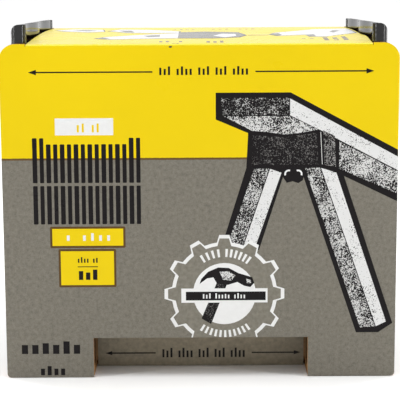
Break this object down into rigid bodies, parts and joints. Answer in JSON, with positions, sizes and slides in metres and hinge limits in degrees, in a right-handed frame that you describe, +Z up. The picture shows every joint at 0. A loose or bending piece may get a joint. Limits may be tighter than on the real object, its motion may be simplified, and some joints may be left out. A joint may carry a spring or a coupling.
{
  "type": "boxed sawhorse bracket set",
  "caption": "Black plastic sawhorse brackets, each two hooked-together halves with leg sockets, in a folded printed corrugated wrap with open sides and a stepped front notch.",
  "frame": {"origin": "the middle of the pack's base, on the surface that it stands on", "axes": "+Z up; the printed front with the stepped notch faces -Y; the open sides face +X and -X"},
  "size_m": [0.163, 0.123, 0.1477],
  "materials": {
    "kraft_board": "corrugated kraft",
    "printed_paper": "coated, printed",
    "black_polystyrene": "glossy moulded",
    "steel": "bright zinc",
    "hot_melt": "translucent glue"
  },
  "bodies": {
    "root": {"bottom_board": "kraft_board", "back_board": "kraft_board", "back_print": "printed_paper", "glue_flap": "kraft_board", "glue_beads": "hot_melt"},
    "front_panel": {"front_board": "kraft_board", "front_print": "printed_paper"},
    "top_panel": {"top_board": "kraft_board", "top_print": "printed_paper"},
    "step_drop": {"drop_board": "kraft_board", "drop_print": "printed_paper"},
    "step_ledge": {"ledge_board": "kraft_board", "ledge_print": "printed_paper"},
    "lower_left_bracket_half": {"lower_left_half": "black_polystyrene", "lower_hinge_rod": "steel", "lower_front_push_nut": "steel", "lower_rear_push_nut": "steel"},
    "lower_right_bracket_half": {"lower_right_half": "black_polystyrene"},
    "upper_left_bracket_half": {"upper_left_half": "black_polystyrene", "upper_hinge_rod": "steel", "upper_front_push_nut": "steel", "upper_rear_push_nut": "steel"},
    "upper_right_bracket_half": {"upper_right_half": "black_polystyrene"}
  },
  "joints": [
    {"name": "front_fold", "type": "hinge", "parent": "root", "child": "front_panel", "pos_m": [0, -0.0615, 0], "axis": [1, 0, 0], "range_deg": [0, 90]},
    {"name": "top_fold", "type": "hinge", "parent": "front_panel", "child": "top_panel", "pos_m": [0, -0.0615, 0.14], "axis": [1, 0, 0], "range_deg": [0, 90]},
    {"name": "step_drop_fold", "type": "hinge", "parent": "root", "child": "step_drop", "pos_m": [0, -0.0445, 0], "axis": [1, 0, 0], "range_deg": [0, 90]},
    {"name": "step_ledge_fold", "type": "hinge", "parent": "step_drop", "child": "step_ledge", "pos_m": [0, -0.0445, 0.017], "axis": [1, 0, 0], "range_deg": [-90, 0]},
    {"name": "lower_left_pull", "type": "slide", "parent": "root", "child": "lower_left_bracket_half", "axis": [-1, 0, 0], "range_m": [0, 0.12]},
    {"name": "lower_right_pull", "type": "slide", "parent": "root", "child": "lower_right_bracket_half", "axis": [1, 0, 0], "range_m": [0, 0.12]},
    {"name": "upper_left_pull", "type": "slide", "parent": "lower_left_bracket_half", "child": "upper_left_bracket_half", "axis": [-1, 0, 0], "range_m": [0, 0.022]},
    {"name": "upper_right_pull", "type": "slide", "parent": "lower_right_bracket_half", "child": "upper_right_bracket_half", "axis": [1, 0, 0], "range_m": [0, 0.022]}
  ],
  "couplings": [
    {"joint": "step_drop_fold", "follows": "front_fold", "ratio": 1},
    {"joint": "step_ledge_fold", "follows": "front_fold", "ratio": -1}
  ]
}
